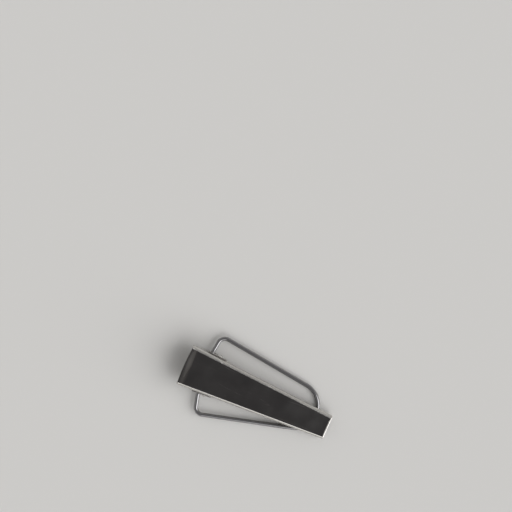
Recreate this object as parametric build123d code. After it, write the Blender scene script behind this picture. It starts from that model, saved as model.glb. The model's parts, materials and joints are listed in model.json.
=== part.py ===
from build123d import *
import os
from math import asin, atan, cos, degrees, hypot, radians, sin, sqrt, tan

# A bias tape maker: a stamped channel that folds a strip of cloth, a slotted guide plate inside it,
# and a wire handle that swings on the guide plate's ears. All sizes are in millimetres.

# Folding channel, pressed from one sheet
body_length = 43.0
wide_half_width = 5.78
narrow_half_width = 3.5
channel_sheet = 0.4
edge_radius = 0.78
curl_radius = 0.8
curl_start_height = 1.25
wide_wall_height = 3.7
flange_gap = 0.9
upright_lean = 0.3
folded_lean = 90.0
curl_begins = 10.5
curl_ends = 36.0
curl_steps = 8
mouth_bulge = 0.3
lip_length = 1.5
lip_flare = 0.12
wall_corner_radius = 1.3
back_skim = 0.004
cut_margin = 1.0

# Guide plate, pressed from a thinner sheet
guide_sheet = 0.35
guide_edge_gap = 1.25
guide_height = 1.4
guide_tip_height = 0.85
guide_level_to = 11.0
guide_tip = 38.0
guide_tip_radius = 1.3
guide_mouth = 0.7
guide_lip_begins = 2.8
guide_lip_height = 0.95
guide_lip_bend = 3.0
guide_tip_bend = 20.0
slot_start = 12.5
slot_length = 16.0
slot_width = 1.8

# Ears, the guide plate's sides folded over the channel's walls
ear_start = 4.6
ear_end = 10.2
ear_foot = 1.45
ear_corner_radius = 0.5
strap_start = 8.1
bend_radius = 0.35
sheet_gap = 0.03
pivot_along = 6.4
pivot_height = 4.7
pivot_hole_radius = 1.15
lobe_radius = 1.55

# Rivets, one through each ear and the wall behind it
rivet_along = 8.2
rivet_height = 2.3
rivet_shank_radius = 0.45
rivet_hole_radius = 0.47
rivet_head_radius = 0.75
rivet_head_height = 0.45

# Wire handle
wire_radius = 0.57
nose_reach = 32.7
nose_radius = 6.35
run_angle = 10.9
stub_inner = 4.6
stub_outer = 6.4
stub_bend_radius = 1.4
corner_radius = 2.0
wire_end_chamfer = 0.12
rest_gap = 0.03
handle_yaw = 4.8
handle_shift = 0.4

taper = degrees(atan((wide_half_width - narrow_half_width) / body_length))
flange_width = narrow_half_width - curl_radius - flange_gap / 2
wall_flange = wide_wall_height - curl_start_height - curl_radius * sin(radians(upright_lean))


def half_width(along):
    """Outer half-width of the channel at a distance from its wide end."""
    return wide_half_width - along * tan(radians(taper))


def ease(share):
    """Smooth step from 0 to 1."""
    inside = min(max(share, 0.0), 1.0)
    return inside * inside * (3 - 2 * inside)


def channel_section(along):
    """Closed C section of the sheet, with walls that lean further in towards the narrow end."""
    width = half_width(along)
    lean = radians(upright_lean)
    lean += radians(folded_lean - upright_lean) * ease((along - curl_begins) / (curl_ends - curl_begins))
    fold = wall_flange + (flange_width - wall_flange) * ease(along / body_length)
    floor = -back_skim - lip_flare * (1 - ease((along + mouth_bulge) / (lip_length + mouth_bulge)))
    edge_y = width - edge_radius
    curl_y = width - curl_radius
    diagonal = cos(radians(45))

    def curl_point(radius, angle):
        return (curl_y + radius * cos(angle), curl_start_height + radius * sin(angle))

    def edge_point(radius):
        return (edge_y + radius * diagonal, floor + edge_radius - radius * diagonal)

    def flange_point(radius):
        y, z = curl_point(radius, lean)
        return (y - fold * sin(lean), z + fold * cos(lean))

    inner_edge = edge_radius - channel_sheet
    inner_curl = curl_radius - channel_sheet
    half = [
        (edge_y, floor),
        edge_point(edge_radius),
        (width, floor + edge_radius),
        (width, curl_start_height),
        curl_point(curl_radius, lean / 2),
        curl_point(curl_radius, lean),
        flange_point(curl_radius),
        flange_point(inner_curl),
        curl_point(inner_curl, lean),
        curl_point(inner_curl, lean / 2),
        (width - channel_sheet, curl_start_height),
        (width - channel_sheet, floor + edge_radius),
        edge_point(inner_edge),
        (edge_y, floor + channel_sheet),
    ]
    edges = []
    for side in (1, -1):
        at = [Vector(along, side * y, z) for y, z in half]
        edges += [
            ThreePointArc(at[0], at[1], at[2]),
            Line(at[2], at[3]),
            ThreePointArc(at[3], at[4], at[5]),
            Line(at[5], at[6]),
            Line(at[6], at[7]),
            Line(at[7], at[8]),
            ThreePointArc(at[8], at[9], at[10]),
            Line(at[10], at[11]),
            ThreePointArc(at[11], at[12], at[13]),
        ]
    for y, z in (half[0], half[-1]):
        edges.append(Line((along, -y, z), (along, y, z)))
    return make_face(edges)


def make_channel():
    """Folding channel: lofted sheet, skimmed flat on its back, with its mouth cut to a slight bow."""
    curl_length = curl_ends - curl_begins
    curl = [curl_begins + curl_length * step / curl_steps for step in range(curl_steps + 1)]
    body = loft([channel_section(along) for along in (-mouth_bulge, lip_length)], ruled=True)
    body += loft([channel_section(along) for along in (lip_length, curl_begins)], ruled=True)
    body += loft([channel_section(along) for along in curl])
    body += loft([channel_section(along) for along in (curl_ends, body_length)], ruled=True)
    span = 2 * (wide_half_width + cut_margin)
    skim = Pos(lip_length + body_length / 2, 0, -cut_margin / 2) * Box(body_length, span, cut_margin)
    body -= skim
    mouth = make_face(
        [
            ThreePointArc((0, -wide_half_width), (-mouth_bulge, 0), (0, wide_half_width)),
            Line((0, wide_half_width), (body_length, wide_half_width)),
            Line((body_length, wide_half_width), (body_length, -wide_half_width)),
            Line((body_length, -wide_half_width), (0, -wide_half_width)),
        ]
    )
    body &= extrude(mouth, 2 * wide_wall_height, both=True)
    notch = Rectangle(2 * wall_corner_radius, 2 * wall_corner_radius)
    notch -= Pos(wall_corner_radius, -wall_corner_radius) * Circle(wall_corner_radius)
    body -= Pos(0, 0, wide_wall_height) * Rot(90, 0, 0) * extrude(notch, span, both=True)
    for rivet in rivet_cutters():
        body -= rivet
    return body


def on_wall(shape):
    """Both copies of a shape drawn with the channel wall's outer face as the plane Y = 0."""
    left = Pos(0, wide_half_width, 0) * Rot(0, 0, -taper) * shape
    return [left, mirror(left, Plane.XZ)]


def rivet_cutters():
    """Clearance for the rivet shanks through the ears and the walls."""
    shank = Cylinder(rivet_hole_radius, 2 * cut_margin)
    shank = Pos(rivet_along, 0, rivet_height) * Rot(90, 0, 0) * shank
    return on_wall(shank)


def make_guide():
    """Guide plate: a slotted tongue with a turned-up mouth, and two straps that become the ears."""
    middle = guide_sheet / 2
    side_line = FilletPolyline(
        (guide_mouth, guide_height + guide_lip_height),
        (guide_lip_begins, guide_height + middle),
        (guide_level_to, guide_height + middle),
        (guide_tip, guide_tip_height + middle),
        radius=[guide_lip_bend, guide_tip_bend],
    )
    across = wide_half_width
    tongue = extrude(Plane.XZ * trace(side_line, guide_sheet), across, both=True)
    edge_gap = guide_edge_gap / cos(radians(taper))
    mouth_width = half_width(0) - edge_gap
    tip_width = half_width(guide_tip) - edge_gap
    plan = Polygon(
        (0, -mouth_width), (guide_tip, -tip_width), (guide_tip, tip_width), (0, mouth_width), align=None
    )
    tips = plan.vertices().sort_by(Axis.X)[-2:]
    plan = fillet(tips, guide_tip_radius)
    slot = Pos(slot_start + slot_length / 2, 0) * SlotOverall(slot_length, slot_width)
    tongue &= extrude(plan - slot, 2 * wide_wall_height)
    for part in on_wall(make_strap() + make_ear()):
        tongue += part
    for rivet in rivet_cutters():
        tongue -= rivet
    return tongue


def make_strap():
    """The sheet that rises from the tongue's edge, crosses the wall's top and turns down outside it."""
    middle = guide_sheet / 2
    outside = sheet_gap + middle
    inside = -channel_sheet - 3 * sheet_gap - middle
    crest = wide_wall_height + 2 * sheet_gap + middle
    path = FilletPolyline(
        (-2 * guide_edge_gap, guide_height + middle),
        (-guide_edge_gap, guide_height + middle),
        (inside, crest),
        (outside, crest),
        (outside, ear_foot),
        radius=bend_radius,
    )
    strap = extrude(Plane.YZ * trace(path, guide_sheet), ear_end - strap_start)
    return Pos(strap_start, 0, 0) * strap


def make_ear():
    """The plate outside the wall, with a round lobe above the wall's top for the handle's wire."""
    length = ear_end - ear_start
    height = wide_wall_height - ear_foot
    plate = Pos(ear_start + length / 2, ear_foot + height / 2) * Rectangle(length, height)
    neck_height = pivot_height - ear_foot
    neck = Pos(pivot_along, ear_foot + neck_height / 2) * Rectangle(2 * lobe_radius, neck_height)
    lobe = Pos(pivot_along, pivot_height) * Circle(lobe_radius)
    outline = plate + neck + lobe
    feet = outline.vertices().group_by(Axis.Y)[0]
    outline = fillet(feet, ear_corner_radius)
    outline -= Pos(pivot_along, pivot_height) * Circle(pivot_hole_radius)
    ear = extrude(Plane.XZ * outline, -guide_sheet)
    return Pos(0, sheet_gap, 0) * ear


def make_rivets():
    """Domed rivets: the head on the ear, the shank through the wall and flush inside it."""
    head_base = sheet_gap + guide_sheet
    dome_radius = (rivet_head_radius**2 + rivet_head_height**2) / (2 * rivet_head_height)
    dome_middle = dome_radius * sin(asin(rivet_head_radius / dome_radius) / 2)
    dome_rise = sqrt(dome_radius**2 - dome_middle**2) - (dome_radius - rivet_head_height)
    profile = make_face(
        [
            Line((0, -channel_sheet), (rivet_shank_radius, -channel_sheet)),
            Line((rivet_shank_radius, -channel_sheet), (rivet_shank_radius, head_base)),
            Line((rivet_shank_radius, head_base), (rivet_head_radius, head_base)),
            ThreePointArc(
                (rivet_head_radius, head_base),
                (dome_middle, head_base + dome_rise),
                (0, head_base + rivet_head_height),
            ),
            Line((0, head_base + rivet_head_height), (0, -channel_sheet)),
        ]
    )
    rivet = Pos(rivet_along, 0, rivet_height) * revolve(profile, Axis.Y)
    return on_wall(rivet)


def make_handle():
    """Closed-nose wire bail in its own plane, its two stubs on the Y axis and its nose towards +X."""
    along = cos(radians(run_angle))
    across = sin(radians(run_angle))
    nose_centre = nose_reach - nose_radius
    leg = across * nose_centre + nose_radius - stub_outer * along
    corner = Vector(leg * across, stub_outer + leg * along)
    run_end = Vector(nose_centre + nose_radius * across, nose_radius * along)
    side = FilletPolyline(
        (0, stub_inner),
        (0, stub_outer),
        corner,
        run_end,
        radius=[stub_bend_radius, corner_radius],
    )
    nose = ThreePointArc(run_end, (nose_reach, 0), Vector(run_end.X, -run_end.Y))
    path = Wire(side.edges() + nose.edges() + mirror(side, Plane.XZ).edges())
    start = Plane(origin=(0, stub_inner, 0), x_dir=(1, 0, 0), z_dir=(0, 1, 0))
    wire = sweep(start * Circle(wire_radius), path=path)
    ends = wire.edges().filter_by(GeomType.CIRCLE).filter_by_position(Axis.X, -wire_radius, wire_radius)
    ends = ends.sort_by(lambda edge: abs(edge.center().Y))[:2]
    return chamfer(ends, wire_end_chamfer)


# The handle's nose lies on the folded flanges; its loose holes allow the yaw and the sideways shift
flange_top = curl_start_height + curl_radius
nose_height = flange_top + rest_gap + wire_radius
drop_angle = degrees(asin((pivot_height - nose_height) / nose_reach))
handle_turn = Rot(0, 0, -handle_yaw) * Rot(0, drop_angle, 0)
handle_place = Pos(pivot_along, 0, pivot_height) * handle_turn * Pos(0, handle_shift, 0)

# The tool lies with its flat back up, on the tips of its ears and on the handle's nose
foot_drop = pivot_height - nose_height
foot_extra = lobe_radius - wire_radius
foot_span = (nose_reach - nose_radius) * cos(radians(handle_yaw)) + nose_radius
lying_tilt = degrees(asin(foot_extra / hypot(foot_span, foot_drop)) + atan(foot_drop / foot_span))

left_rivet, right_rivet = make_rivets()
upright_pieces = {
    "folding_channel": make_channel(),
    "guide_plate": make_guide(),
    "wire_handle": handle_place * make_handle(),
    "left_rivet": left_rivet,
    "right_rivet": right_rivet,
}
turned = {name: Rot(0, lying_tilt, 0) * Rot(180, 0, 0) * piece for name, piece in upright_pieces.items()}
box = Compound(children=[Compound(piece.wrapped) for piece in turned.values()]).bounding_box()
floor_centre = Pos(-box.center().X, -box.center().Y, -box.min.Z)

os.makedirs("parts", exist_ok=True)
for name, piece in turned.items():
    export_step(floor_centre * piece, f"parts/{name}.step")
    print(name, round(piece.volume, 2), "mm3")
print("lying tilt", round(lying_tilt, 3), "handle drop", round(drop_angle, 3), "box", box.size)
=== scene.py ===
"""Looks of a bias tape maker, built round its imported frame.

The tool is drawn in its own frame, in millimetres: X from the wide mouth to the narrow mouth, Y across, and Z
from the flat back to the folded flanges. Each piece is then placed in the row frame, in metres.
"""

import json
import logging
from abc import ABC, abstractmethod
from dataclasses import dataclass
from enum import Enum
from math import asin, atan, cos, pi, radians, sin, sqrt, tan
from typing import Any

import bmesh
import bpy
from bmesh.types import BMEdge, BMesh, BMVert
from bpy.types import Camera, Material, Mesh, Node, NodeSocket, NodeTree, Object, World
from mathutils import Matrix, Vector


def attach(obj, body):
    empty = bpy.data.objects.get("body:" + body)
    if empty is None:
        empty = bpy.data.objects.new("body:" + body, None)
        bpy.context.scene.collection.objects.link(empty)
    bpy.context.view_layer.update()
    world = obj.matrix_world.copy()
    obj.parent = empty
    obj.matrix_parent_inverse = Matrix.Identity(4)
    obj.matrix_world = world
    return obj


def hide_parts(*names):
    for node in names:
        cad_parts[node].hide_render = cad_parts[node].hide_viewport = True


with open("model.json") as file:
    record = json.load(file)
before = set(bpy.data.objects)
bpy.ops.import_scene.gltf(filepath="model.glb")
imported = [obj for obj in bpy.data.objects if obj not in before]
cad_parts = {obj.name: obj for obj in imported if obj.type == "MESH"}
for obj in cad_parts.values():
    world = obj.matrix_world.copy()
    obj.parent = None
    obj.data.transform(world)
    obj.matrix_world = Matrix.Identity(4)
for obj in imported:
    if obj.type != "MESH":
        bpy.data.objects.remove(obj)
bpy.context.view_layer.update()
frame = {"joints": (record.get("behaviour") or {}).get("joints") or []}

# What a link starts from
Source = Node | NodeSocket

# Metres in a millimetre
MM = 0.001
# Vertices nearer than this become one, in millimetres
WELD = 0.002
# Change of a noise texture's value over one unit of its own scale, near its middle value
NOISE_SLOPE = 1.2

log = logging.getLogger("bias_tape_maker")


class Body(Enum):
    """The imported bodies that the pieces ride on."""

    TOOL = "tool_body"
    HANDLE = "handle"


class Side(Enum):
    """The tool's two walls, by the sign of Y in its own frame."""

    LEFT = 1
    RIGHT = -1


class Zone(Enum):
    """The parts of half the channel's section, from its middle line to the flange's cut edge."""

    FLAT = 0
    EDGE = 1
    WALL = 2
    CURL = 3
    FLANGE = 4


# Both halves' zones, which share out the height of the sheet's UV map
ZONES_ACROSS = 2 * len(Zone)


def linear(colour: str) -> tuple[float, float, float, float]:
    """Turns an sRGB colour to linear.

    Args:
        colour: Hex digits with a leading #.

    Returns:
        Red, green, blue and an alpha of 1.
    """
    shares = [int(colour[start : start + 2], 16) / 255 for start in (1, 3, 5)]
    return (*[s / 12.92 if s <= 0.04045 else ((s + 0.055) / 1.055) ** 2.4 for s in shares], 1.0)


def add_node(tree: NodeTree, kind: str, settings: dict[str | int, Any]) -> Node:
    """Adds a node with its settings and links.

    Args:
        tree: The node tree that gets it.
        kind: The node's type name without the ShaderNode that it starts with.
        settings: Values by property name, or by the name or number of an input in use. A socket is linked to
            its input, and a node by its first output in use.

    Returns:
        The new node.
    """
    node = tree.nodes.new(f"ShaderNode{kind}")
    for key, value in settings.items():
        used = [socket for socket in node.inputs if socket.enabled]
        entry = used[key] if isinstance(key, int) else next((s for s in used if s.name == key), None)
        if entry is None:
            setattr(node, key, value)
        elif isinstance(value, Node):
            tree.links.new(next(socket for socket in value.outputs if socket.enabled), entry)
        elif isinstance(value, NodeSocket):
            tree.links.new(value, entry)
        else:
            entry.default_value = value
    return node


def empty_tree(owner: Material | World) -> NodeTree:
    """Gives a new material or world a node tree with nothing in it.

    Args:
        owner: The material or world.

    Returns:
        Its node tree.
    """
    owner.use_nodes = True
    owner.node_tree.nodes.clear()
    return owner.node_tree


def to_mesh(bm: BMesh, name: str) -> Mesh:
    """Turns a bmesh into a mesh and frees it.

    Args:
        bm: The bmesh.
        name: The mesh's name.

    Returns:
        The mesh.
    """
    mesh = bpy.data.meshes.new(name)
    bm.to_mesh(mesh)
    bm.free()
    return mesh


def put_in_scene(name: str, data: Mesh | Camera) -> Object:
    """Puts a new object in the scene.

    Args:
        name: The object's name.
        data: Its mesh or camera.

    Returns:
        The object.
    """
    made = bpy.data.objects.new(name, data)
    bpy.context.scene.collection.objects.link(made)
    return made


def ease(share: float) -> float:
    """Smooth step from 0 to 1."""
    inside = min(max(share, 0.0), 1.0)
    return inside * inside * (3 - 2 * inside)


def grid_step(place: float, steps: int) -> int:
    """Number of a grid's line from its place, which is between -1 and 1."""
    return round((place + 1) / 2 * steps)


def round_off(bm: BMesh, part: BMVert | list[BMEdge], width: float, segments: int) -> None:
    """Rounds the corner of a flat blank, or edges.

    Args:
        bm: The bmesh that has them.
        part: The corner, or the edges.
        width: How far the round reaches from them.
        segments: How many edges or faces it has.
    """
    corner = isinstance(part, BMVert)
    bmesh.ops.bevel(
        bm,
        geom=[part] if corner else part,
        offset=width,
        segments=segments,
        profile=0.5,
        affect="VERTICES" if corner else "EDGES",
        material=-1,
    )


def extrude(bm: BMesh, edges: list[BMEdge]) -> tuple[list[BMVert], list[BMEdge]]:
    """Extrudes open edges.

    Args:
        bm: The bmesh that has them.
        edges: The edges.

    Returns:
        The new vertices, still in the old ones' places, and the new open edges between them.
    """
    grown = bmesh.ops.extrude_edge_only(bm, edges=edges)["geom"]
    verts = [part for part in grown if isinstance(part, BMVert)]
    rims = [part for part in grown if isinstance(part, BMEdge) and part.is_boundary]
    return verts, [rim for rim in rims if all(vert in verts for vert in rim.verts)]


@dataclass(frozen=True)
class Finish(ABC):
    """A finish that becomes a material of its own name."""

    name: str

    @abstractmethod
    def shader(self, tree: NodeTree) -> Node:
        """Adds the finish's nodes.

        Args:
            tree: The material's node tree.

        Returns:
            The shader node.
        """

    def material(self) -> Material:
        """Makes the material.

        Returns:
            The material.
        """
        made = bpy.data.materials.new(self.name)
        tree = empty_tree(made)
        add_node(tree, "OutputMaterial", {"Surface": self.shader(tree)})
        return made


@dataclass(frozen=True)
class HairScratches:
    """Fine scratches from handling: straight, few, in patches and one slanting direction. In millimetres.

    Real ones are about 0.02 mm wide. They are drawn three times as wide, so that they show in the render.
    They fade in where a noise texture goes from patch_edge to patch_middle.
    """

    spacing: float = 2.4
    bow: float = 90.0
    slant: float = 11.0
    width: float = 0.06
    patch_size: float = 5.0
    patch_edge: float = 0.50
    patch_middle: float = 0.60

    def lines(self, tree: NodeTree, place: Source) -> Node:
        """Where the scratches are, from 0 to 1.

        Args:
            tree: The material's node tree.
            place: Coordinates in millimetres.

        Returns:
            The node of their strength.
        """
        scale = (1 / self.bow, 1 / self.spacing, 1 / self.spacing)
        turn = (0.0, 0.0, radians(self.slant))
        slanted = add_node(tree, "Mapping", {"Rotation": turn, "Scale": scale, "Vector": place})
        bands = add_node(tree, "TexNoise", {"Scale": 1.0, "Detail": 0.0, "Vector": slanted})
        level = add_node(tree, "Math", {"operation": "SUBTRACT", 0: bands, 1: 0.5})
        away = add_node(tree, "Math", {"operation": "ABSOLUTE", 0: level})
        contour = NOISE_SLOPE * self.width / 2 / self.spacing
        line = add_node(tree, "MapRange", {"Value": away, "From Max": contour, "To Min": 1.0, "To Max": 0.0})
        spread = add_node(tree, "TexNoise", {"Scale": 1 / self.patch_size, "Detail": 2.0, "Vector": place})
        fading = {"From Min": self.patch_edge, "From Max": self.patch_middle}
        patches = add_node(tree, "MapRange", {"Value": spread, **fading})
        return add_node(tree, "Math", {"operation": "MULTIPLY", 0: line, 1: patches})


@dataclass(frozen=True)
class PlatedMetal(Finish):
    """Metal as it leaves the rolls or the die, plated or bare.

    The eye sees a soft reflection that bends in slow waves, faint lines along the X axis, and a few hair
    scratches. Sizes are in millimetres. The lines of real sheet are some hundredths of a millimetre apart.
    Here they are coarser, so that they show.
    """

    colour: str = "#CFCDC9"
    dull_colour: str = "#C3C0BB"
    roughness: float = 0.21
    roughness_spread: float = 0.08
    least_wear: float = 0.1
    most_wear: float = 0.45
    cloud_size: float = 3.5
    wave_size: float = 6.0
    wave_depth: float = 0.012
    line_width: float = 0.17
    line_length: float = 9.0
    line_depth: float = 0.0005
    scratches: HairScratches = HairScratches()
    scratch_roughness: float = 0.14
    attribute: str = ""

    def coordinates(self, tree: NodeTree) -> Source:
        """Coordinates in millimetres, from the piece's own attribute where it has one.

        Args:
            tree: The material's node tree.

        Returns:
            Where to read them.
        """
        if self.attribute:
            return add_node(tree, "Attribute", {"attribute_name": self.attribute}).outputs["Vector"]
        place = add_node(tree, "TexCoord", {}).outputs["Object"]
        return add_node(tree, "Mapping", {"Scale": (1 / MM, 1 / MM, 1 / MM), "Vector": place})

    def patterns(self, tree: NodeTree, place: Source) -> tuple[Node, Node, Node]:
        """The metal's colour, roughness and normal.

        Args:
            tree: The material's node tree.
            place: Coordinates in millimetres.

        Returns:
            The nodes of the colour, the roughness and the normal.
        """
        waves = add_node(tree, "TexNoise", {"Scale": 1 / self.wave_size, "Detail": 1.0, "Vector": place})
        clouds = add_node(tree, "TexNoise", {"Scale": 1 / self.cloud_size, "Detail": 1.5, "Vector": place})
        stretch = (1 / self.line_length, 1 / self.line_width, 1 / self.line_width)
        along = add_node(tree, "Mapping", {"Scale": stretch, "Vector": place})
        lines = add_node(tree, "TexNoise", {"Scale": 1.0, "Detail": 1.0, "Vector": along})
        shades = {"A": linear(self.colour), "B": linear(self.dull_colour)}
        colour = add_node(tree, "Mix", {"data_type": "RGBA", "Factor": clouds, **shades})
        wear = add_node(tree, "Math", {"operation": "MULTIPLY", 0: lines, 1: clouds})
        worn = {"From Min": self.least_wear, "From Max": self.most_wear}
        rough = {"To Min": self.roughness, "To Max": self.roughness + self.roughness_spread}
        unmarked = add_node(tree, "MapRange", {"Value": wear, **worn, **rough})
        marks = {0: self.scratches.lines(tree, place), 1: self.scratch_roughness, 2: unmarked}
        roughness = add_node(tree, "Math", {"operation": "MULTIPLY_ADD", **marks})
        slow = add_node(tree, "Bump", {"Distance": self.wave_depth * MM, "Height": waves})
        normal = add_node(tree, "Bump", {"Distance": self.line_depth * MM, "Height": lines, "Normal": slow})
        return colour, roughness, normal

    def shader(self, tree: NodeTree) -> Node:
        """Adds the metal's nodes.

        Args:
            tree: The material's node tree.

        Returns:
            The shader node.
        """
        colour, roughness, normal = self.patterns(tree, self.coordinates(tree))
        surface = {"Base Color": colour, "Roughness": roughness, "Normal": normal}
        return add_node(tree, "BsdfPrincipled", {"Metallic": 1.0, **surface})


@dataclass(frozen=True)
class EnamelledBack(Finish):
    """Stoved black enamel on the flat back, over satin nickel that shows on the rolled edges and walls.

    The eye sees a deep, glossy black with faint haze and hair scratches. It stops short of the narrow end,
    wanders a little along its borders, and carries a paler band across the lip, which is a painted
    reflection.

    The sheet's UV map has the share of the length as U. Its V leaves the flat one zone to each side of the
    middle. Lengths are in millimetres, but border, border_shift, border_wander and end_round are in zones,
    and softness is a share of U or V.
    """

    plating: PlatedMetal
    uv_map: str
    length: float
    colour: str = "#211F1F"
    hazy_colour: str = "#2C2A29"
    # Colour that the hair scratches and the painted reflection on the lip pale the enamel towards
    scratch_and_lip_sheen_colour: str = "#5A5550"
    roughness: float = 0.12
    roughness_spread: float = 0.14
    mark_roughness: float = 0.5
    scratch_share: float = 0.16
    haze_size: float = 5.5
    least_haze: float = 0.3
    most_haze: float = 0.7
    border: float = 1.065
    border_shift: float = 0.085
    border_wander: float = 0.015
    softness: float = 0.0006
    bare_end: float = 0.38
    bare_corner: float = 0.14
    end_round: float = 0.6
    end_wander: float = 0.04
    chip_size: float = 0.35
    least_chip: float = 0.35
    most_chip: float = 0.65
    # A paler band across the lip, painted as a reflection: its middle, half-width, strength and patch size
    lip_sheen_at: float = 1.0
    lip_sheen_width: float = 0.9
    lip_sheen_share: float = 0.6
    lip_sheen_patch: float = 4.0

    def mask(self, tree: NodeTree, place: Source, sheet: Node) -> Node:
        """How much of the surface is enamel, from 0 to 1.

        Args:
            tree: The material's node tree.
            place: Coordinates in millimetres.
            sheet: The node with the UV map's parts.

        Returns:
            The node of the share.
        """
        border, middle = self.border / ZONES_ACROSS, 0.5 + self.border_shift / ZONES_ACROSS
        across = add_node(tree, "Math", {"operation": "SUBTRACT", 0: sheet.outputs["Y"], 1: middle})
        away = add_node(tree, "Math", {"operation": "ABSOLUTE", 0: across})
        round_corner = {
            "interpolation_type": "SMOOTHSTEP",
            "Value": away,
            "From Min": self.end_round / ZONES_ACROSS,
            "From Max": border,
            "To Max": (self.bare_end - self.bare_corner) / self.length,
        }
        gained = add_node(tree, "MapRange", round_corner)
        along = add_node(tree, "Math", {"operation": "SUBTRACT", 0: sheet.outputs["X"], 1: gained})
        grain = {"Scale": 1 / self.chip_size, "Detail": 3.0, "Roughness": 0.6}
        chips = add_node(tree, "TexNoise", {**grain, "Vector": place})
        chipped = {"Value": chips, "From Min": self.least_chip, "From Max": self.most_chip}
        soft = {"From Min": -self.softness, "From Max": self.softness}
        masks = []
        for reached, limit, wander in (
            (away, border, self.border_wander / ZONES_ACROSS),
            (along, 1 - self.bare_end / self.length, self.end_wander / self.length),
        ):
            edge = add_node(tree, "MapRange", {**chipped, "To Min": limit - wander, "To Max": limit + wander})
            inside = add_node(tree, "Math", {"operation": "SUBTRACT", 0: edge, 1: reached})
            masks.append(add_node(tree, "MapRange", {"Value": inside, **soft}))
        return add_node(tree, "Math", {"operation": "MULTIPLY", 0: masks[0], 1: masks[1]})

    def lip_sheen(self, tree: NodeTree, place: Source, sheet: Node) -> Node:
        """Strength of the painted reflection across the lip, from 0 to lip_sheen_share.

        Args:
            tree: The material's node tree.
            place: Coordinates in millimetres.
            sheet: The node with the UV map's parts.

        Returns:
            The node of the share.
        """
        centre = self.lip_sheen_at / self.length
        along = add_node(tree, "Math", {"operation": "SUBTRACT", 0: sheet.outputs["X"], 1: centre})
        away = add_node(tree, "Math", {"operation": "ABSOLUTE", 0: along})
        fading = {"From Max": self.lip_sheen_width / self.length, "To Min": self.lip_sheen_share, "To Max": 0.0}
        band = add_node(tree, "MapRange", {"interpolation_type": "SMOOTHSTEP", "Value": away, **fading})
        patches = add_node(tree, "TexNoise", {"Scale": 1 / self.lip_sheen_patch, "Detail": 1.0, "Vector": place})
        return add_node(tree, "Math", {"operation": "MULTIPLY", 0: band, 1: patches})

    def shader(self, tree: NodeTree) -> Node:
        """Adds the nodes of the enamel and of the plating round it.

        Args:
            tree: The material's node tree.

        Returns:
            The shader node.
        """
        place = self.plating.coordinates(tree)
        nickel_colour, nickel_roughness, normal = self.plating.patterns(tree, place)
        uv = add_node(tree, "UVMap", {"uv_map": self.uv_map})
        sheet = add_node(tree, "SeparateXYZ", {"Vector": uv})
        enamel = self.mask(tree, place, sheet)
        # Painted reflection across the lip
        lip_sheen = self.lip_sheen(tree, place, sheet)
        grain = {"Scale": 1 / self.haze_size, "Detail": 4.0, "Roughness": 0.55}
        haze = add_node(tree, "TexNoise", {**grain, "Vector": place})
        shades = {"A": linear(self.colour), "B": linear(self.hazy_colour)}
        black = add_node(tree, "Mix", {"data_type": "RGBA", "Factor": haze, **shades})
        # The scratches are wear; the band on the lip is a painted reflection
        scratches_and_lip_sheen = {0: self.plating.scratches.lines(tree, place), 1: self.scratch_share, 2: lip_sheen}
        marks = add_node(tree, "Math", {"operation": "MULTIPLY_ADD", "use_clamp": True, **scratches_and_lip_sheen})
        paled = {"Factor": marks, "A": black, "B": linear(self.scratch_and_lip_sheen_colour)}
        enamel_colour = add_node(tree, "Mix", {"data_type": "RGBA", **paled})
        hazed = {"Value": haze, "From Min": self.least_haze, "From Max": self.most_haze}
        rough = {"To Min": self.roughness, "To Max": self.roughness + self.roughness_spread}
        scuffed = {0: marks, 1: self.mark_roughness, 2: add_node(tree, "MapRange", {**hazed, **rough})}
        enamel_roughness = add_node(tree, "Math", {"operation": "MULTIPLY_ADD", **scuffed})
        over = {"Factor": enamel, "A": nickel_colour, "B": enamel_colour}
        colour = add_node(tree, "Mix", {"data_type": "RGBA", **over})
        over = {"Factor": enamel, "A": nickel_roughness, "B": enamel_roughness}
        roughness = add_node(tree, "Mix", {"data_type": "FLOAT", **over})
        metal = add_node(tree, "Math", {"operation": "SUBTRACT", 0: 1.0, 1: enamel})
        surface = {"Base Color": colour, "Metallic": metal, "Roughness": roughness, "Normal": normal}
        return add_node(tree, "BsdfPrincipled", surface)


@dataclass(frozen=True)
class MattPaper(Finish):
    """Uncoated paper. The eye sees a plain pale surface with no gloss."""

    colour: str = "#D0CFCD"

    def shader(self, tree: NodeTree) -> Node:
        """Adds the paper's shader node."""
        return add_node(tree, "BsdfDiffuse", {"Color": linear(self.colour)})


@dataclass(frozen=True)
class Placement:
    """How the tool lies: flat back up, on the tips of its ears and the nose of its handle.

    The pivot is the middle of the line through the ear holes. Lengths are in millimetres, angles in degrees.
    """

    pivot_along: float
    pivot_height: float
    lying_tilt: float = 5.316
    handle_yaw: float = 4.8
    handle_drop: float = 3.594
    handle_shift: float = 0.4

    def tool(self) -> Matrix:
        """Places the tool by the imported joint's pivot.

        Returns:
            From the tool's frame in millimetres to the row frame in metres.
        """
        turn = Matrix.Rotation(radians(self.lying_tilt), 4, "Y") @ Matrix.Rotation(pi, 4, "X")
        pivot = Vector((self.pivot_along, 0, self.pivot_height))
        anchor = Vector(frame["joints"][0]["pos_m"])
        return Matrix.Translation(anchor - turn @ (pivot * MM)) @ turn @ Matrix.Scale(MM, 4)

    def handle(self) -> Matrix:
        """Places the handle, whose own frame has its stubs on Y and its nose towards X.

        Returns:
            From the handle's frame in millimetres to the row frame in metres.
        """
        pivot = Matrix.Translation((self.pivot_along, 0, self.pivot_height))
        yaw = Matrix.Rotation(radians(-self.handle_yaw), 4, "Z")
        drop = Matrix.Rotation(radians(self.handle_drop), 4, "Y")
        return self.tool() @ pivot @ yaw @ drop @ Matrix.Translation((0, self.handle_shift, 0))


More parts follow.
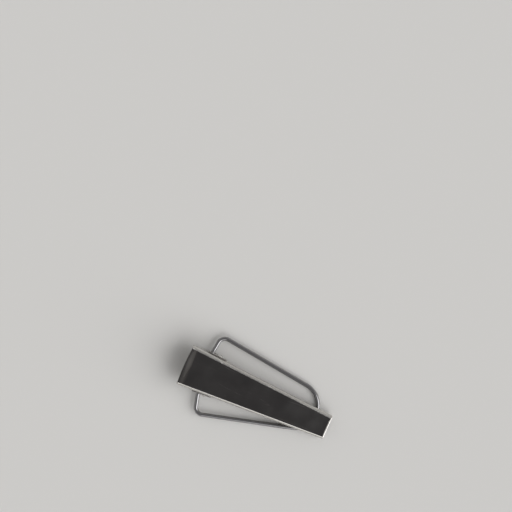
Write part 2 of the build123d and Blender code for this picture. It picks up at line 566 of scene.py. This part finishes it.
@dataclass(frozen=True)
class SheetThickness:
    """Thickness for a piece whose mesh is one side or the middle of its sheet. Sizes are in millimetres."""

    sheet: float
    offset: float
    inner_slot: int = 0
    edge_slot: int = 0

    def add(self, piece: Object) -> None:
        """Adds the thickness. The inner side and the cut edges move up by their number of materials.

        Args:
            piece: The piece that gets it.
        """
        solid = piece.modifiers.new("sheet", "SOLIDIFY")
        solid.thickness = self.sheet
        solid.offset = self.offset
        solid.use_even_offset = True
        solid.material_offset = self.inner_slot
        solid.material_offset_rim = self.edge_slot


@dataclass(frozen=True)
class BrokenEdges:
    """Cut edges rubbed to a small round. Width in millimetres, least angle between two faces in degrees."""

    width: float
    segments: int = 2
    angle: float = 50.0

    def add(self, piece: Object) -> None:
        """Adds the rounding.

        Args:
            piece: The piece that gets it.
        """
        bevel = piece.modifiers.new("cut_edges", "BEVEL")
        bevel.width = self.width
        bevel.segments = self.segments
        bevel.limit_method = "ANGLE"
        bevel.angle_limit = radians(self.angle)
        bevel.use_clamp_overlap = False


def settle(
    bm: BMesh,
    name: str,
    place: Matrix,
    materials: list[Material],
    works: tuple[SheetThickness | BrokenEdges, ...] = (),
) -> Object:
    """Turns a bmesh into a piece at the origin, with its place in its mesh and its flat faces shaded flat.

    Args:
        bm: The shape in millimetres, which is freed.
        name: The piece's name.
        place: From the shape's frame to the row frame.
        materials: Its material slots.
        works: What is done to it while it is still in millimetres, where the modifiers' tolerances suit it.

    Returns:
        The piece.
    """
    mesh = to_mesh(bm, name)
    for material in materials:
        mesh.materials.append(material)
    piece = put_in_scene(name, mesh)
    for work in works:
        work.add(piece)
    if works:
        shaped = piece.evaluated_get(bpy.context.evaluated_depsgraph_get())
        worked = bpy.data.meshes.new_from_object(shaped)
        piece.modifiers.clear()
        piece.data = worked
        bpy.data.meshes.remove(mesh)
        worked.name = name
    piece.data.transform(place)
    piece.data.shade_smooth()
    piece.modifiers.new("flat_faces", "WEIGHTED_NORMAL")
    return piece


def adopt(piece: Object, body: Body, node: str) -> None:
    """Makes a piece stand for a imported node.

    Args:
        piece: The piece.
        body: The body that it rides on.
        node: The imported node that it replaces.
    """
    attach(piece, body.value)
    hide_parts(node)
    log.info("%s stands for %s, %d faces before its modifiers", piece.name, node, len(piece.data.polygons))


@dataclass
class FoldingChannel:
    """The tapered channel: a flat back, rolled edges, and walls that curl over towards its narrow end.

    Lengths are in millimetres, and the walls' leans in degrees.
    """

    length: float = 43.0
    wide_half: float = 5.78
    narrow_half: float = 3.5
    sheet: float = 0.4
    edge_radius: float = 0.78
    curl_radius: float = 0.8
    curl_height: float = 1.25
    curl_least: float = 0.6
    wall_height: float = 3.7
    flange_gap: float = 0.9
    upright_lean: float = 0.3
    folded_lean: float = 90.0
    curl_begins: float = 10.5
    curl_ends: float = 36.0
    mouth_bow: float = 0.3
    lip_length: float = 1.5
    lip_flare: float = 0.12
    corner_radius: float = 1.3
    broken_edge: float = 0.05
    corner_steps: int = 4
    wide_stations: tuple[float, ...] = (2.4, 5.0, 7.8)
    curl_steps: int = 44
    narrow_stations: tuple[float, ...] = (38.5, 41.5, 42.8)
    flat_margin: float = 0.97
    edge_faces: int = 8
    curl_faces: int = 10
    uv_map: str = "sheet"

    def half_width(self, along: float) -> float:
        """Outer half-width at a distance from the wide end."""
        return self.wide_half - along * (self.wide_half - self.narrow_half) / self.length

    def taper(self) -> float:
        """Angle in radians between the middle line and a wall."""
        return atan((self.wide_half - self.narrow_half) / self.length)

    def wall_frame(self, side: Side) -> Matrix:
        """From a frame with X along a wall, Y out of its outer face and Z up it, to the tool's frame."""
        left = Matrix.Translation((0, self.wide_half, 0)) @ Matrix.Rotation(-self.taper(), 4, "Z")
        return Matrix.Scale(side.value, 4, (0, 1, 0)) @ left

    def stations(self) -> list[float]:
        """Where the lines across the sheet leave its middle line.

        Returns:
            Places along the back. The lines of the first ones end on the upper half of the mouth's corner.
        """
        turns = [pi / 4 * (1 + step / self.corner_steps) for step in range(self.corner_steps)]
        corner = [self.corner_radius * (1 - cos(turn) / cos(pi / 4)) for turn in turns]
        curl_length, steps = self.curl_ends - self.curl_begins, self.curl_steps
        curl = [self.curl_begins + curl_length * step / steps for step in range(steps + 1)]
        wide = [*corner, self.corner_radius, self.lip_length, *self.wide_stations]
        return [*wide, *curl, *self.narrow_stations, self.length]

    def lines(self) -> list[tuple[Zone, float]]:
        """Where the lines along the sheet are on half its section.

        Returns:
            Their zones and shares of them. The last ones start on the lower half of the mouth's corner.
        """
        turns = [pi / 4 * (step + 1) / self.corner_steps for step in range(self.corner_steps)]
        return [
            *[(Zone.FLAT, share) for share in (0.0, 0.5, self.flat_margin, 1.0)],
            *[(Zone.EDGE, (face + 1) / self.edge_faces) for face in range(self.edge_faces)],
            (Zone.WALL, 1.0),
            *[(Zone.CURL, (face + 1) / self.curl_faces) for face in range(self.curl_faces)],
            *[(Zone.FLANGE, share) for share in (0.25, 0.5)],
            *[(Zone.FLANGE, 0.5 + 0.5 * sin(turn) / sin(pi / 4)) for turn in turns],
        ]

    def past_corner(self, station: float, share: float) -> float:
        """Where a line across the sheet meets a line along it that starts on the mouth's round corner.

        Args:
            station: Where the line across leaves the middle line.
            share: How far up the corner the line along starts, 1 for the cut edge.

        Returns:
            The place along the channel.
        """
        start = self.corner_radius * (1 - sqrt(1 - (share * sin(pi / 4)) ** 2))
        return station + start * max(0.0, 1 - station / self.corner_radius)

    def corner_rise(self, station: float) -> float:
        """Height of the cut edge over the foot of the mouth's round corner."""
        missing = max(0.0, self.corner_radius - self.past_corner(station, 1.0))
        return sqrt(self.corner_radius**2 - missing**2)

    def reach(self, along: float) -> float:
        """Width of the sheet past the curl, as if the mouth's corner weren't round.

        Args:
            along: Distance from the wide end.

        Returns:
            The width.
        """
        upright = self.wall_height - self.curl_height - self.curl_radius * sin(radians(self.upright_lean))
        folded = self.narrow_half - self.curl_radius - self.flange_gap / 2
        return upright + (folded - upright) * ease(along / self.length)

    def point(self, station: float, zone: Zone, share: float) -> Vector:
        """A point of the outer surface on the left half.

        Args:
            station: Place along the back.
            zone: Part of the section.
            share: How far through the zone. Half of the flange's is below the height of the mouth's corner.

        Returns:
            The point in the tool's frame.
        """
        below, above = min(1.0, 2 * share), max(0.0, 2 * share - 1)
        along = self.past_corner(station, above) if zone is Zone.FLANGE else station
        width = self.half_width(along)
        lip = max(0.0, 1 - (along + self.mouth_bow) / (self.lip_length + self.mouth_bow))
        floor = -self.lip_flare * lip * lip
        lean = radians(self.upright_lean)
        curled = ease((along - self.curl_begins) / (self.curl_ends - self.curl_begins))
        lean += radians(self.folded_lean - self.upright_lean) * curled
        if zone is Zone.FLAT:
            y, z = share * (width - self.edge_radius), floor
        elif zone is Zone.EDGE:
            turn = share * pi / 2
            y = width - self.edge_radius * (1 - sin(turn))
            z = floor + self.edge_radius * (1 - cos(turn))
        elif zone is Zone.WALL:
            foot = floor + self.edge_radius
            y, z = width, foot + share * (self.curl_height - foot)
        else:
            span = max(self.curl_radius * lean, self.curl_least)
            walked = span * (share if zone is Zone.CURL else 1.0)
            turn = min(walked / self.curl_radius, lean)
            climb = walked - self.curl_radius * turn
            if zone is Zone.FLANGE:
                corner_foot = self.reach(along) - self.corner_radius
                climb += below * (corner_foot - climb) + above * self.corner_rise(station)
            y = width - self.curl_radius * (1 - cos(turn)) - climb * sin(turn)
            z = self.curl_height + self.curl_radius * sin(turn) + climb * cos(turn)
        bow = self.mouth_bow * max(0.0, 1 - along / self.lip_length) * (1 - (y / self.wide_half) ** 2)
        return Vector((along - bow, y, z))

    def build(self, place: Matrix, materials: list[Material]) -> Object:
        """Folds a flat blank into the channel.

        Args:
            place: From the tool's frame to the row frame.
            materials: The back's finish and the inside's.

        Returns:
            The piece.
        """
        stations, half = self.stations(), self.lines()
        lines = [(*line, -1) for line in reversed(half)] + [(*line, 1) for line in half[1:]]
        rows, columns = len(stations) - 1, len(lines) - 1
        bm = bmesh.new()
        uv = bm.loops.layers.uv.new(self.uv_map)
        bmesh.ops.create_grid(bm, x_segments=rows, y_segments=columns, size=1.0)
        sheet_place = {}
        for vert in bm.verts:
            station = stations[grid_step(vert.co.x, rows)]
            zone, share, side = lines[grid_step(vert.co.y, columns)]
            left = self.point(station, zone, share)
            vert.co = Vector((left.x, side * left.y, left.z))
            across = side * (zone.value + share) / ZONES_ACROSS
            sheet_place[vert] = (station / self.length, 0.5 + across)
        for face in bm.faces:
            for loop in face.loops:
                loop[uv].uv = sheet_place[loop.vert]
        bm.normal_update()
        middle = Vector((self.length / 2, 0, 0))
        back = min(bm.faces, key=lambda face: (face.calc_center_median() - middle).length)
        if back.normal.z > 0:
            bmesh.ops.reverse_faces(bm, faces=bm.faces)
        works = (SheetThickness(self.sheet, -1.0, inner_slot=1, edge_slot=1), BrokenEdges(self.broken_edge))
        return settle(bm, "channel_sheet", place, materials, works)


@dataclass
class GuidePlate:
    """The slotted tongue inside the channel. A strap each side folds over the wall and becomes an ear.

    Lengths are in millimetres. The ear's rounds have arc_density edges for each millimetre of their radius,
    and tip_spine is where the tip's fan starts on the middle line, as a share of the tip's radius.
    """

    channel: FoldingChannel
    sheet: float = 0.35
    edge_gap: float = 1.25
    level: float = 1.4
    tip_level: float = 0.85
    level_to: float = 11.0
    level_bend: float = 20.0
    tip: float = 38.0
    tip_radius: float = 1.3
    tip_spine: float = 0.06
    mouth: float = 0.7
    lip_begins: float = 2.8
    lip_rise: float = 0.95
    lip_bend: float = 3.0
    slot_start: float = 12.5
    slot_length: float = 16.0
    slot_width: float = 1.8
    strap_start: float = 8.1
    ear_start: float = 4.6
    ear_end: float = 10.2
    ear_foot: float = 1.45
    ear_corner: float = 0.5
    strap_foot: float = 3.3
    outer_gap: float = 0.03
    crest_gap: float = 0.06
    inner_gap: float = 0.09
    bend_radius: float = 0.35
    pivot_along: float = 6.4
    pivot_height: float = 4.7
    hole_radius: float = 1.15
    lobe_radius: float = 1.55
    lip_places: tuple[float, ...] = (0.95, 1.6, 2.1, 2.3, 2.5, 2.7, 2.9, 3.1, 3.35, 4.0, 5.5)
    level_place: float = 11.3
    slot_shares: tuple[float, ...] = (0.12, 0.3, 0.5, 0.7, 0.88)
    tip_places: tuple[float, ...] = (29.8, 31.5, 34.0, 35.8)
    bend_steps: int = 6
    arc_steps: int = 8
    tip_steps: int = 5
    arc_density: float = 9.0
    rows: int = 5
    hole_faces: int = 56
    broken_edge: float = 0.045

    def height(self, along: float) -> float:
        """Height of the tongue's middle surface: turned up at its mouth, level, then falling to its tip.

        Args:
            along: Distance from the wide end.

        Returns:
            The height, with both bends rounded.
        """
        level = self.level + self.sheet / 2
        mouth_slope = self.lip_rise - self.sheet / 2
        mouth_slope /= self.lip_begins - self.mouth
        tip_slope = (self.level - self.tip_level) / (self.tip - self.level_to)
        lip_turn, tip_turn = atan(mouth_slope), atan(tip_slope)
        lip_reach = self.lip_bend * tan(lip_turn / 2)
        tip_reach = self.level_bend * tan(tip_turn / 2)
        if along < self.lip_begins - lip_reach * cos(lip_turn):
            return level + (self.lip_begins - along) * mouth_slope
        if along < self.lip_begins + lip_reach:
            short = self.lip_begins + lip_reach - along
            return level + self.lip_bend - sqrt(self.lip_bend**2 - short**2)
        if along < self.level_to - tip_reach:
            return level
        if along < self.level_to + tip_reach * cos(tip_turn):
            past = along - self.level_to + tip_reach
            return level - self.level_bend + sqrt(self.level_bend**2 - past**2)
        return level - (along - self.level_to) * tip_slope

    def edge(self, along: float) -> float:
        """Half-width of the tongue."""
        return self.channel.half_width(along) - self.edge_gap / cos(self.channel.taper())

    def strap_ends(self) -> tuple[float, float]:
        """Where the strap leaves the tongue's edge, measured along the tool."""
        taper, ends = self.channel.taper(), (self.strap_start, self.ear_end)
        return tuple(end * cos(taper) - self.edge_gap * sin(taper) for end in ends)

    def across(self, along: float, inner: float = 0.0) -> tuple[Vector, Vector]:
        """A pair of points straight across the left half, out to the tongue's edge."""
        return Vector((along, inner, 0)), Vector((along, self.edge(along), 0))

    def slot_arc(self, end: float, way: int) -> list[tuple[Vector, Vector]]:
        """Pairs of points from an end of the slot to where its sides are straight.

        Args:
            end: The slot's end, along the tool.
            way: 1 where the slot goes on along X from there, -1 where it goes back.

        Returns:
            The pairs.
        """
        radius, pairs = self.slot_width / 2, []
        for step in range(self.arc_steps + 1):
            angle = pi / 2 * step / self.arc_steps
            inner = Vector((end + way * radius * (1 - cos(angle)), radius * sin(angle), 0))
            pairs.append((inner, self.across(end + way * radius * angle * 2 / pi)[1]))
        return pairs

    def outline(self) -> list[tuple[Vector, Vector]]:
        """The left half of the tongue, flat.

        Returns:
            Pairs of points, from the middle line or the slot's side out to the tongue's edge.
        """
        taper = self.channel.taper()
        slot = [self.slot_start + self.slot_length * share for share in self.slot_shares]
        along = self.tip - self.tip_radius
        centre = Vector((along, self.edge(along) - self.tip_radius / cos(taper), 0))
        tip = []
        for step in range(self.tip_steps + 1):
            share = step / self.tip_steps
            angle = taper + (pi / 2 - taper) * share
            spine = along + self.tip_radius * (self.tip_spine + (1 - self.tip_spine) * share)
            outer = centre + self.tip_radius * Vector((sin(angle), cos(angle), 0))
            tip.append((Vector((spine, 0, 0)), outer))
        return [
            *map(self.across, (self.mouth, *self.lip_places, *self.strap_ends(), self.level_place)),
            *self.slot_arc(self.slot_start, 1),
            *[self.across(place, self.slot_width / 2) for place in slot],
            *reversed(self.slot_arc(self.slot_start + self.slot_length, -1)),
            *map(self.across, self.tip_places),
            *tip,
        ]

    def tongue(self, bm: BMesh) -> BMEdge:
        """Shapes a grid into the left half of the tongue.

        Args:
            bm: The bmesh that gets it.

        Returns:
            The edge that the strap grows from.
        """
        pairs = self.outline()
        bmesh.ops.create_grid(bm, x_segments=len(pairs) - 1, y_segments=self.rows, size=1.0)
        root = []
        for vert in bm.verts:
            inner, outer = pairs[grid_step(vert.co.x, len(pairs) - 1)]
            share = (vert.co.y + 1) / 2
            flat = inner.lerp(outer, share)
            vert.co = Vector((flat.x, flat.y, self.height(flat.x)))
            if share > 1 - WELD and any(abs(outer.x - end) < WELD for end in self.strap_ends()):
                root.append(vert)
        return bm.edges.get(root)

    def strap(self, bm: BMesh, root: BMEdge) -> None:
        """Folds the strap up from the tongue, over the wall and down outside it.

        Args:
            bm: The guide plate so far.
            root: The tongue's edge that it grows from.
        """
        wall = self.channel.wall_frame(Side.LEFT)
        middle = self.sheet / 2
        outside = self.outer_gap + middle
        inside = -self.channel.sheet - self.inner_gap - middle
        crest = self.channel.wall_height + self.crest_gap + middle
        edges, folds = [root], []
        for across, height in ((inside, crest), (outside, crest), (outside, self.strap_foot)):
            verts, edges = extrude(bm, edges)
            folds.append(edges)
            for vert in verts:
                along = (wall.inverted() @ vert.co).x
                vert.co = wall @ Vector((along, across, height))
        climb = atan((crest - self.level - middle) / (inside + self.edge_gap))
        for fold, turn in zip(folds, (climb, pi / 2)):
            round_off(bm, fold, self.bend_radius * tan(turn / 2), self.bend_steps)

    def ear(self, bm: BMesh) -> None:
        """Cuts the ear as a flat blank with its hole, outside the left wall.

        Args:
            bm: The guide plate so far.
        """
        lobe_top = self.pivot_height + self.lobe_radius
        lobe_start, lobe_end = self.pivot_along - self.lobe_radius, self.pivot_along + self.lobe_radius
        bend_end = self.channel.wall_height + self.crest_gap + self.sheet / 2 - self.bend_radius
        corners = [
            (self.ear_end, self.strap_foot, 0.0),
            (self.ear_end, self.ear_foot, self.ear_corner),
            (self.ear_start, self.ear_foot, self.ear_corner),
            (lobe_start, lobe_top, self.lobe_radius),
            (lobe_end, lobe_top, self.lobe_radius),
            (lobe_end, bend_end, 0.0),
            (self.strap_start, bend_end, 0.0),
            (self.strap_start, self.strap_foot, 0.0),
        ]
        blank = bmesh.new()
        verts = [blank.verts.new((along, 0, height)) for along, height, _ in corners]
        for first, second in zip(verts, verts[1:] + verts[:1]):
            blank.edges.new((first, second))
        for vert, (_, _, radius) in zip(verts, corners):
            if radius:
                round_off(blank, vert, radius, round(self.arc_density * radius))
        bmesh.ops.remove_doubles(blank, verts=blank.verts, dist=WELD)
        hole = Matrix.Translation((self.pivot_along, 0, self.pivot_height)) @ Matrix.Rotation(pi / 2, 4, "X")
        bmesh.ops.create_circle(blank, segments=self.hole_faces, radius=self.hole_radius, matrix=hole)
        bmesh.ops.triangle_fill(blank, use_beauty=True, use_dissolve=True, edges=blank.edges)
        shift = Matrix.Translation((0, self.outer_gap + self.sheet / 2, 0))
        bmesh.ops.transform(blank, matrix=self.channel.wall_frame(Side.LEFT) @ shift, verts=blank.verts)
        cut = to_mesh(blank, "ear_blank")
        bm.from_mesh(cut)
        bpy.data.meshes.remove(cut)

    def build(self, place: Matrix, materials: list[Material]) -> Object:
        """Makes the guide plate.

        Args:
            place: From the tool's frame to the row frame.
            materials: The finish of its faces and of its cut edges, whose darker colour is partly painted
                shade.

        Returns:
            The piece.
        """
        bm = bmesh.new()
        self.strap(bm, self.tongue(bm))
        self.ear(bm)
        bmesh.ops.remove_doubles(bm, verts=bm.verts, dist=WELD)
        bmesh.ops.mirror(bm, geom=[*bm.verts, *bm.edges, *bm.faces], axis="Y", merge_dist=WELD)
        bmesh.ops.remove_doubles(bm, verts=bm.verts, dist=WELD)
        bmesh.ops.recalc_face_normals(bm, faces=bm.faces)
        works = (SheetThickness(self.sheet, 0.0, edge_slot=1), BrokenEdges(self.broken_edge))
        return settle(bm, "guide_sheet", place, materials, works)


@dataclass
class Rivet:
    """A domed rivet through an ear and the wall behind it."""

    channel: FoldingChannel
    guide: GuidePlate
    side: Side
    along: float = 8.2
    height: float = 2.3
    shank_radius: float = 0.45
    head_radius: float = 0.75
    head_height: float = 0.45
    tail: float = 0.015
    weld: float = 0.0002
    dome_steps: int = 8
    faces: int = 48
    broken_edges: BrokenEdges = BrokenEdges(width=0.05, segments=3, angle=35.0)

    def build(self, name: str, place: Matrix, material: Material) -> Object:
        """Spins the rivet's profile about its axis.

        Args:
            name: The piece's name.
            place: From the tool's frame to the row frame.
            material: Its finish.

        Returns:
            The piece.
        """
        base = self.guide.outer_gap + self.guide.sheet
        tail = -self.channel.sheet - self.tail
        dome = (self.head_radius**2 + self.head_height**2) / (2 * self.head_height)
        centre = Vector((0, base + self.head_height - dome, 0))
        turn = asin(self.head_radius / dome)
        bm = bmesh.new()
        corners = [(0, tail), (self.shank_radius, tail), (self.shank_radius, base), (self.head_radius, base)]
        verts = [bm.verts.new((radius, height, 0)) for radius, height in corners]
        for first, second in zip(verts, verts[1:]):
            bm.edges.new((first, second))
        bmesh.ops.spin(bm, geom=[verts[-1]], cent=centre, axis=(0, 0, 1), angle=turn, steps=self.dome_steps)
        bmesh.ops.remove_doubles(bm, verts=bm.verts, dist=self.weld)
        profile = [*bm.verts, *bm.edges]
        bmesh.ops.spin(bm, geom=profile, axis=(0, 1, 0), angle=2 * pi, steps=self.faces, use_merge=True)
        bmesh.ops.remove_doubles(bm, verts=bm.verts, dist=self.weld)
        seat = Matrix.Translation((self.along, 0, self.height))
        bmesh.ops.transform(bm, matrix=self.channel.wall_frame(self.side) @ seat, verts=bm.verts)
        bmesh.ops.recalc_face_normals(bm, faces=bm.faces)
        return settle(bm, name, place, [material], (self.broken_edges,))


class BentWire:
    """A round wire fed and bent as on a bench, ring by ring, in one plane."""

    def __init__(self, radius: float, around: int, start: Vector, attribute: str) -> None:
        """Starts with the wire's first end, a circle that faces along Y.

        Args:
            radius: Of the wire, in millimetres.
            around: Faces round the wire.
            start: Middle of the first end.
            attribute: Name of the vertex attribute that gets the place along and across the wire.
        """
        self.bm = bmesh.new()
        self.layer = self.bm.verts.layers.float_vector.new(attribute)
        self.heading = Vector((0, 1, 0))
        self.at = start.copy()
        self.made = 0.0
        turn = Matrix.Translation(start) @ Matrix.Rotation(-pi / 2, 4, "X")
        ring = bmesh.ops.create_circle(self.bm, segments=around, radius=radius, matrix=turn)
        for vert in ring["verts"]:
            off = vert.co - start
            vert[self.layer] = (0.0, off.x, off.z)
        self.first = list({edge for vert in ring["verts"] for edge in vert.link_edges})
        self.ring = self.first

    def grow(self, gained: float) -> list[BMVert]:
        """Extrudes the open ring, and notes how far along the wire the new one is.

        Args:
            gained: Length of wire since the last ring.

        Returns:
            The new ring's vertices, still in the last ring's place.
        """
        verts, self.ring = extrude(self.bm, self.ring)
        self.made += gained
        for vert in verts:
            _, across, up = vert[self.layer]
            vert[self.layer] = (self.made, across, up)
        return verts

    def run(self, length: float) -> None:
        """Feeds straight wire."""
        bmesh.ops.translate(self.bm, vec=self.heading * length, verts=self.grow(length))
        self.at += self.heading * length

    def bend(self, angle: float, radius: float, step_limit: float = radians(5.0)) -> None:
        """Bends the wire clockwise, seen from above its plane.

        Args:
            angle: How far, in radians.
            radius: Radius of its middle line.
            step_limit: Largest turn between two rings, in radians.
        """
        steps = max(2, round(angle / step_limit))
        step = angle / steps
        centre = self.at + Vector((self.heading.y, -self.heading.x, 0)) * radius
        turn = Matrix.Rotation(-step, 3, "Z")
        for _ in range(steps):
            bmesh.ops.rotate(self.bm, cent=centre, matrix=turn, verts=self.grow(step * radius))
        whole = Matrix.Rotation(-angle, 3, "Z")
        self.heading.rotate(whole)
        self.at = centre + whole @ (self.at - centre)

    def close(self, chamfer: float, steps: int) -> None:
        """Closes both ends and breaks their edges.

        Args:
            chamfer: Width of the broken edge.
            steps: Faces across it.
        """
        for ring in (self.first, self.ring):
            bmesh.ops.edgeloop_fill(self.bm, edges=ring)
        bmesh.ops.recalc_face_normals(self.bm, faces=self.bm.faces)
        round_off(self.bm, [*self.first, *self.ring], chamfer, steps)


@dataclass
class WireHandle:
    """The pull handle: a stub through each ear, a leg, a corner, a run to the front, and a round nose."""

    radius: float = 0.57
    nose_reach: float = 32.7
    nose_radius: float = 6.35
    run_angle: float = 10.9
    stub_inner: float = 4.6
    stub_outer: float = 6.4
    stub_bend: float = 1.4
    corner_bend: float = 2.0
    end_chamfer: float = 0.12
    end_steps: int = 3
    around: int = 32
    attribute: str = "wire_coordinates"

    def build(self, place: Matrix, material: Material) -> Object:
        """Bends the whole handle.

        Args:
            place: From the handle's frame to the row frame.
            material: Its finish.

        Returns:
            The piece.
        """
        slant = radians(self.run_angle)
        along, across = cos(slant), sin(slant)
        nose_centre = self.nose_reach - self.nose_radius
        leg = across * nose_centre + self.nose_radius - self.stub_outer * along
        corner = Vector((leg * across, self.stub_outer + leg * along, 0))
        run_end = Vector((nose_centre + self.nose_radius * across, self.nose_radius * along, 0))
        stub_lost = self.stub_bend * tan(slant / 2)
        stub = self.stub_outer - self.stub_inner - stub_lost
        leg -= stub_lost + self.corner_bend
        side = (run_end - corner).length - self.corner_bend
        to_corner = ((stub, slant, self.stub_bend), (leg, pi / 2, self.corner_bend))
        wire = BentWire(self.radius, self.around, Vector((0, self.stub_inner, 0)), self.attribute)
        for length, angle, radius in to_corner:
            wire.run(length)
            wire.bend(angle, radius)
        wire.run(side)
        wire.bend(pi - 2 * slant, self.nose_radius)
        wire.run(side)
        for length, angle, radius in reversed(to_corner):
            wire.bend(angle, radius)
            wire.run(length)
        wire.close(self.end_chamfer, self.end_steps)
        return settle(wire.bm, "handle_wire", place, [material])


@dataclass(frozen=True)
class SoftLight:
    """A round softbox far away, drawn in the surroundings.

    Angles are in degrees, and the azimuth is from the picture's right.
    """

    azimuth: float
    elevation: float
    radius: float
    strength: float
    soft_edge: float = 8.0
    colour: str = "#FFFFFF"

    def factor(self, tree: NodeTree, towards: Source, turned: float) -> Node:
        """How bright the light is in each direction.

        Args:
            tree: The world's node tree.
            towards: The direction.
            turned: Turn of the picture's right from X, in degrees.

        Returns:
            The node of the strength.
        """
        centre = Vector((cos(radians(self.elevation)), 0, sin(radians(self.elevation))))
        centre.rotate(Matrix.Rotation(radians(self.azimuth + turned), 3, "Z"))
        near = add_node(tree, "VectorMath", {"operation": "DOT_PRODUCT", 0: towards, 1: centre})
        edge = {
            "From Min": cos(radians(self.radius + self.soft_edge / 2)),
            "From Max": cos(radians(self.radius - self.soft_edge / 2)),
            "To Max": self.strength,
        }
        return add_node(tree, "MapRange", {"interpolation_type": "SMOOTHSTEP", "Value": near, **edge})


@dataclass(frozen=True)
class Studio:
    """A pale floor that runs on into pale surroundings, a dim ceiling, soft lights and a camera.

    The camera is the photograph's. It looks straight down on the middle of the picture, and the tool's wide
    mouth is below and left of that. The scale is in pixels per millimetre, the camera's height and sensor are
    in millimetres, its clipping and the floor in metres, and turns in degrees. The sky's colours are by
    height, from 0 at eye level to 1 overhead.
    """

    picture_side: int = 512
    scale: float = 3.666
    camera_height: float = 398.0
    turned: float = 24.26
    mouth_pixel: tuple[float, float] = (185.25, 364.93)
    sensor: float = 36.0
    nearest: float = 0.01
    farthest: float = 100.0
    floor_side: float = 60.0
    paper: MattPaper = MattPaper("matt_paper")
    sky: tuple[tuple[float, str], ...] = (
        (0.30, "#CFCECC"),
        (0.45, "#BFBEBC"),
        (0.80, "#B4B3B2"),
        (0.94, "#88888A"),
    )
    lights: tuple[SoftLight, ...] = (
        SoftLight(azimuth=-25, elevation=33, radius=32, strength=2.65),
        SoftLight(azimuth=-75, elevation=41, radius=20, strength=1.2),
    )

    def camera(self, mouth: Vector) -> None:
        """Places the camera.

        Args:
            mouth: Middle of the flat back's wide end, in the row frame.
        """
        lens = bpy.data.cameras.new("camera")
        lens.sensor_width = self.sensor
        lens.lens = self.sensor * self.camera_height * self.scale / self.picture_side
        lens.clip_start, lens.clip_end = self.nearest, self.farthest
        eye = put_in_scene("camera", lens)
        middle = self.picture_side / 2
        across = (middle - self.mouth_pixel[0]) / self.scale * MM
        along = (self.mouth_pixel[1] - middle) / self.scale * MM
        right, up, _ = Matrix.Rotation(radians(self.turned), 3, "Z").col
        eye.location = mouth + right * across + up * along + Vector((0, 0, self.camera_height * MM))
        eye.rotation_euler = (0, 0, radians(self.turned))
        bpy.context.scene.camera = eye

    def world(self) -> None:
        """Draws surroundings as pale as the floor up to eye level, dim overhead, with soft lights."""
        made = bpy.data.worlds.new("studio")
        bpy.context.scene.world = made
        tree = empty_tree(made)
        towards = add_node(tree, "TexCoord", {}).outputs["Generated"]
        height = add_node(tree, "SeparateXYZ", {"Vector": towards}).outputs["Z"]
        ramp = add_node(tree, "ValToRGB", {"Fac": height})
        stops = ramp.color_ramp.elements
        for stop, (position, colour) in zip(stops, (self.sky[0], self.sky[-1])):
            stop.position, stop.color = position, linear(colour)
        for position, colour in self.sky[1:-1]:
            stops.new(position).color = linear(colour)
        shine = add_node(tree, "Background", {"Color": ramp})
        for light in self.lights:
            strength = light.factor(tree, towards, self.turned)
            glow = add_node(tree, "Background", {"Color": linear(light.colour), "Strength": strength})
            shine = add_node(tree, "AddShader", {0: shine, 1: glow})
        add_node(tree, "OutputWorld", {"Surface": shine})

    def floor(self) -> None:
        """Lays a matt floor at the height that the tool lies on."""
        bm = bmesh.new()
        bmesh.ops.create_grid(bm, x_segments=1, y_segments=1, size=self.floor_side / 2)
        mesh = to_mesh(bm, "floor")
        mesh.materials.append(self.paper.material())
        floor = put_in_scene("floor", mesh)

    def build(self, mouth: Vector) -> None:
        """Sets up the studio.

        Args:
            mouth: Middle of the flat back's wide end, in the row frame.
        """
        self.floor()
        self.world()
        self.camera(mouth)
        bpy.context.scene.view_settings.view_transform = "Standard"


def main() -> None:
    """Builds every piece and the studio."""
    logging.basicConfig(level=logging.INFO, format="%(name)s: %(message)s")
    channel, wire = FoldingChannel(), WireHandle()
    guide = GuidePlate(channel)
    placement = Placement(guide.pivot_along, guide.pivot_height)
    tool, handle = placement.tool(), placement.handle()
    nickel = PlatedMetal("satin_nickel_on_pressed_steel")
    enamel = EnamelledBack("black_enamel_over_nickel", nickel, channel.uv_map, channel.length)
    # Cut edges of the guide plate: bare steel where the shear cut it, duller than the plated faces, and
    # darker both as bare steel and as painted shade along the ears' edges
    edge_steel_and_shade = PlatedMetal("cut_edge_steel_and_painted_shade", colour="#817E7B", dull_colour="#6E6B68", roughness=0.34)
    # Paler than the sheet's nickel, as a painted highlight on the domes, and smoother, so they mirror more
    # than the sheet
    bright = PlatedMetal(
        "rivet_nickel_paled_as_painted_highlight", colour="#DDDBD7", dull_colour="#D2CFCA", roughness=0.12, wave_depth=0.002
    )
    # Bare steel polished by the die: dark, with clear reflections and fine lines along the wire
    drawn = PlatedMetal(
        "polished_drawn_steel",
        colour="#929192",
        dull_colour="#868586",
        roughness=0.12,
        roughness_spread=0.06,
        wave_depth=0.004,
        line_width=0.10,
        attribute=wire.attribute,
    )
    # The cut edges' material is bare steel, darkened further as painted shade
    faces, edges, rivets = nickel.material(), edge_steel_and_shade.material(), bright.material()
    back = channel.build(tool, [enamel.material(), faces])
    adopt(back, Body.TOOL, "folding_channel")
    adopt(guide.build(tool, [faces, edges]), Body.TOOL, "guide_plate")
    names = {Side.LEFT: ("rivet_left", "left_rivet"), Side.RIGHT: ("rivet_right", "right_rivet")}
    for side, (name, node) in names.items():
        adopt(Rivet(channel, guide, side).build(name, tool, rivets), Body.TOOL, node)
    adopt(wire.build(handle, drawn.material()), Body.HANDLE, "wire_handle")
    Studio().build(tool @ Vector((0, 0, 0)))


if __name__ == "__main__":
    main()
